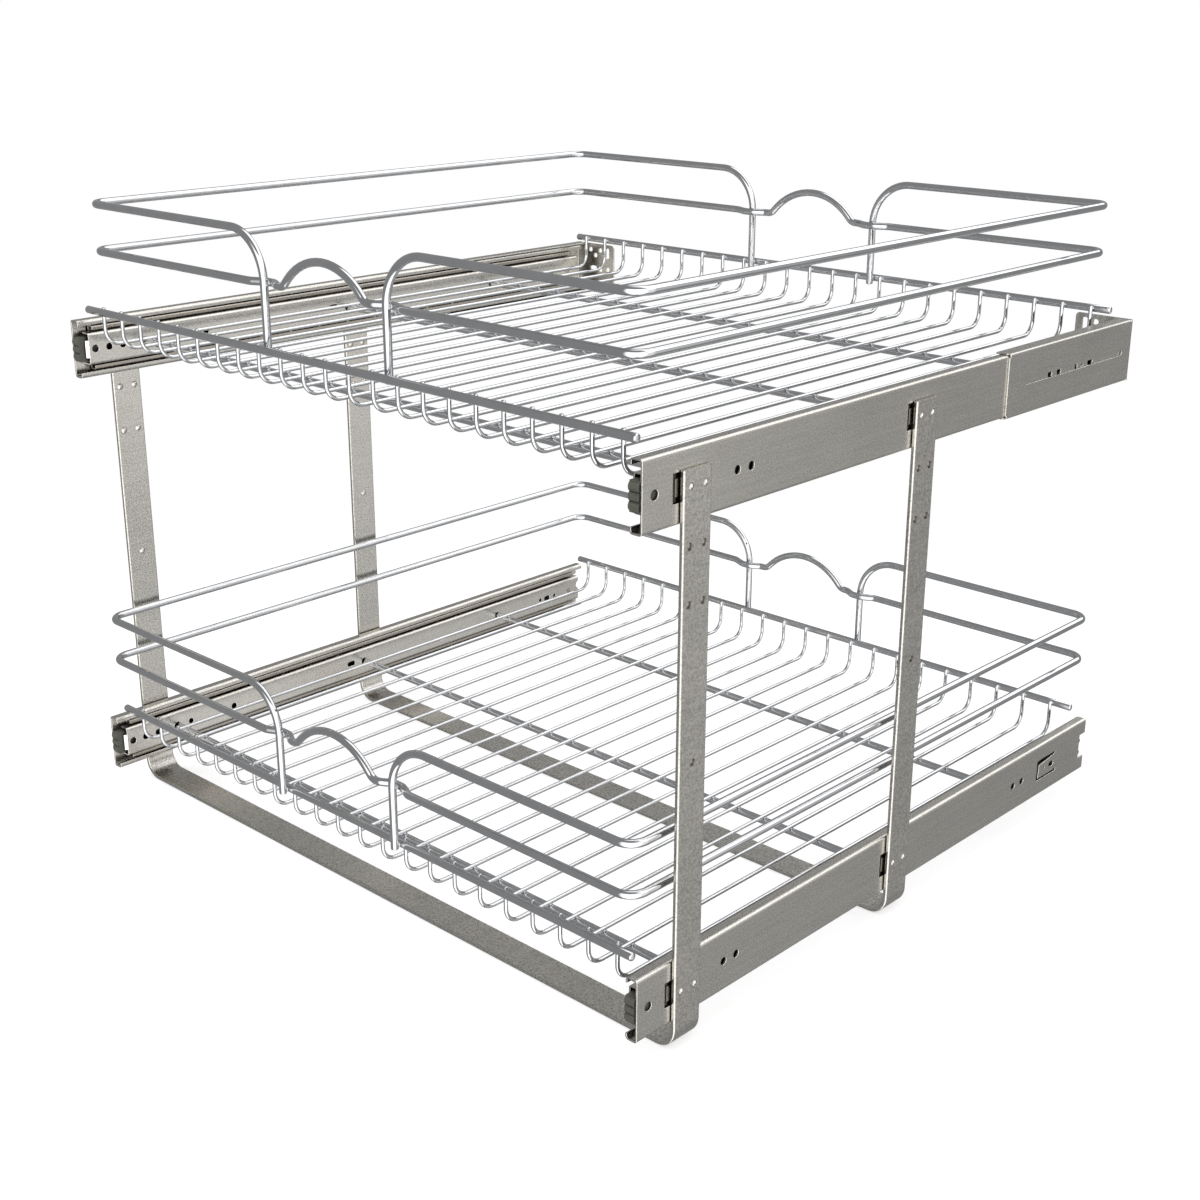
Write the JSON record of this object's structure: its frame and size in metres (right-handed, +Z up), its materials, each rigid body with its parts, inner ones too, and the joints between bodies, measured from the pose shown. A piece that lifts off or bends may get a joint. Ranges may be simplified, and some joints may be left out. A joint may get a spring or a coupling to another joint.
{
  "type": "two-tier pull-out wire basket",
  "caption": "Pull-out organiser with wire baskets one above the other, each on full-extension ball-bearing slides, held in a frame of bent steel straps.",
  "frame": {"origin": "middle of the bounding box, on the underside of the frame straps", "axes": "+X to the right of a person who pulls the baskets out, -Y out of the cabinet, +Z up"},
  "size_m": [0.6032, 0.5684, 0.4912],
  "materials": {
    "zinc_steel": "satin zinc plating with a fine grain",
    "chromed_wire": "polished",
    "bumper_rubber": "matt",
    "ball_steel": "polished",
    "cage_steel": "as rolled"
  },
  "bodies": {
    "frame": {"front_strap": "zinc_steel", "rear_strap": "zinc_steel", "front_rivets": "zinc_steel", "rear_rivets": "zinc_steel", "lower_left_outer": "zinc_steel", "lower_right_outer": "zinc_steel", "upper_left_outer": "zinc_steel", "upper_right_outer": "zinc_steel", "upper_left_bracket": "zinc_steel", "upper_right_bracket": "zinc_steel"},
    "lower_basket": {"lower_floor_wires": "chromed_wire", "lower_front_rail": "chromed_wire", "lower_rear_rail": "chromed_wire", "lower_cross_bars": "chromed_wire", "lower_ring": "chromed_wire", "lower_left_loop": "chromed_wire", "lower_right_loop": "chromed_wire", "lower_left_inner": "zinc_steel", "lower_right_inner": "zinc_steel"},
    "upper_basket": {"upper_floor_wires": "chromed_wire", "upper_front_rail": "chromed_wire", "upper_rear_rail": "chromed_wire", "upper_cross_bars": "chromed_wire", "upper_ring": "chromed_wire", "upper_left_loop": "chromed_wire", "upper_right_loop": "chromed_wire", "upper_left_inner": "zinc_steel", "upper_right_inner": "zinc_steel"},
    "lower_left_middle_slide": {"lower_left_middle": "zinc_steel", "lower_left_bumper": "bumper_rubber"},
    "lower_left_outer_balls": {"lower_left_outer_cage": "cage_steel", "lower_left_outer_balls": "ball_steel"},
    "lower_left_inner_balls": {"lower_left_inner_cage": "cage_steel", "lower_left_inner_balls": "ball_steel"},
    "lower_right_middle_slide": {"lower_right_middle": "zinc_steel", "lower_right_bumper": "bumper_rubber"},
    "lower_right_outer_balls": {"lower_right_outer_cage": "cage_steel", "lower_right_outer_balls": "ball_steel"},
    "lower_right_inner_balls": {"lower_right_inner_cage": "cage_steel", "lower_right_inner_balls": "ball_steel"},
    "upper_left_middle_slide": {"upper_left_middle": "zinc_steel", "upper_left_bumper": "bumper_rubber"},
    "upper_left_outer_balls": {"upper_left_outer_cage": "cage_steel", "upper_left_outer_balls": "ball_steel"},
    "upper_left_inner_balls": {"upper_left_inner_cage": "cage_steel", "upper_left_inner_balls": "ball_steel"},
    "upper_right_middle_slide": {"upper_right_middle": "zinc_steel", "upper_right_bumper": "bumper_rubber"},
    "upper_right_outer_balls": {"upper_right_outer_cage": "cage_steel", "upper_right_outer_balls": "ball_steel"},
    "upper_right_inner_balls": {"upper_right_inner_cage": "cage_steel", "upper_right_inner_balls": "ball_steel"}
  },
  "joints": [
    {"name": "lower_pull_out", "type": "slide", "parent": "frame", "child": "lower_basket", "axis": [0, -1, 0], "range_m": [0, 0.55]},
    {"name": "upper_pull_out", "type": "slide", "parent": "frame", "child": "upper_basket", "axis": [0, -1, 0], "range_m": [0, 0.55]},
    {"name": "lower_left_middle_slide_run", "type": "slide", "parent": "frame", "child": "lower_left_middle_slide", "axis": [0, -1, 0], "range_m": [0, 0.275]},
    {"name": "lower_left_outer_balls_run", "type": "slide", "parent": "frame", "child": "lower_left_outer_balls", "axis": [0, -1, 0], "range_m": [0, 0.1375]},
    {"name": "lower_left_inner_balls_run", "type": "slide", "parent": "frame", "child": "lower_left_inner_balls", "axis": [0, -1, 0], "range_m": [0, 0.4125]},
    {"name": "lower_right_middle_slide_run", "type": "slide", "parent": "frame", "child": "lower_right_middle_slide", "axis": [0, -1, 0], "range_m": [0, 0.275]},
    {"name": "lower_right_outer_balls_run", "type": "slide", "parent": "frame", "child": "lower_right_outer_balls", "axis": [0, -1, 0], "range_m": [0, 0.1375]},
    {"name": "lower_right_inner_balls_run", "type": "slide", "parent": "frame", "child": "lower_right_inner_balls", "axis": [0, -1, 0], "range_m": [0, 0.4125]},
    {"name": "upper_left_middle_slide_run", "type": "slide", "parent": "frame", "child": "upper_left_middle_slide", "axis": [0, -1, 0], "range_m": [0, 0.275]},
    {"name": "upper_left_outer_balls_run", "type": "slide", "parent": "frame", "child": "upper_left_outer_balls", "axis": [0, -1, 0], "range_m": [0, 0.1375]},
    {"name": "upper_left_inner_balls_run", "type": "slide", "parent": "frame", "child": "upper_left_inner_balls", "axis": [0, -1, 0], "range_m": [0, 0.4125]},
    {"name": "upper_right_middle_slide_run", "type": "slide", "parent": "frame", "child": "upper_right_middle_slide", "axis": [0, -1, 0], "range_m": [0, 0.275]},
    {"name": "upper_right_outer_balls_run", "type": "slide", "parent": "frame", "child": "upper_right_outer_balls", "axis": [0, -1, 0], "range_m": [0, 0.1375]},
    {"name": "upper_right_inner_balls_run", "type": "slide", "parent": "frame", "child": "upper_right_inner_balls", "axis": [0, -1, 0], "range_m": [0, 0.4125]}
  ],
  "couplings": [
    {"joint": "lower_left_middle_slide_run", "follows": "lower_pull_out", "ratio": 0.5},
    {"joint": "lower_left_outer_balls_run", "follows": "lower_pull_out", "ratio": 0.25},
    {"joint": "lower_left_inner_balls_run", "follows": "lower_pull_out", "ratio": 0.75},
    {"joint": "lower_right_middle_slide_run", "follows": "lower_pull_out", "ratio": 0.5},
    {"joint": "lower_right_outer_balls_run", "follows": "lower_pull_out", "ratio": 0.25},
    {"joint": "lower_right_inner_balls_run", "follows": "lower_pull_out", "ratio": 0.75},
    {"joint": "upper_left_middle_slide_run", "follows": "upper_pull_out", "ratio": 0.5},
    {"joint": "upper_left_outer_balls_run", "follows": "upper_pull_out", "ratio": 0.25},
    {"joint": "upper_left_inner_balls_run", "follows": "upper_pull_out", "ratio": 0.75},
    {"joint": "upper_right_middle_slide_run", "follows": "upper_pull_out", "ratio": 0.5},
    {"joint": "upper_right_outer_balls_run", "follows": "upper_pull_out", "ratio": 0.25},
    {"joint": "upper_right_inner_balls_run", "follows": "upper_pull_out", "ratio": 0.75}
  ]
}
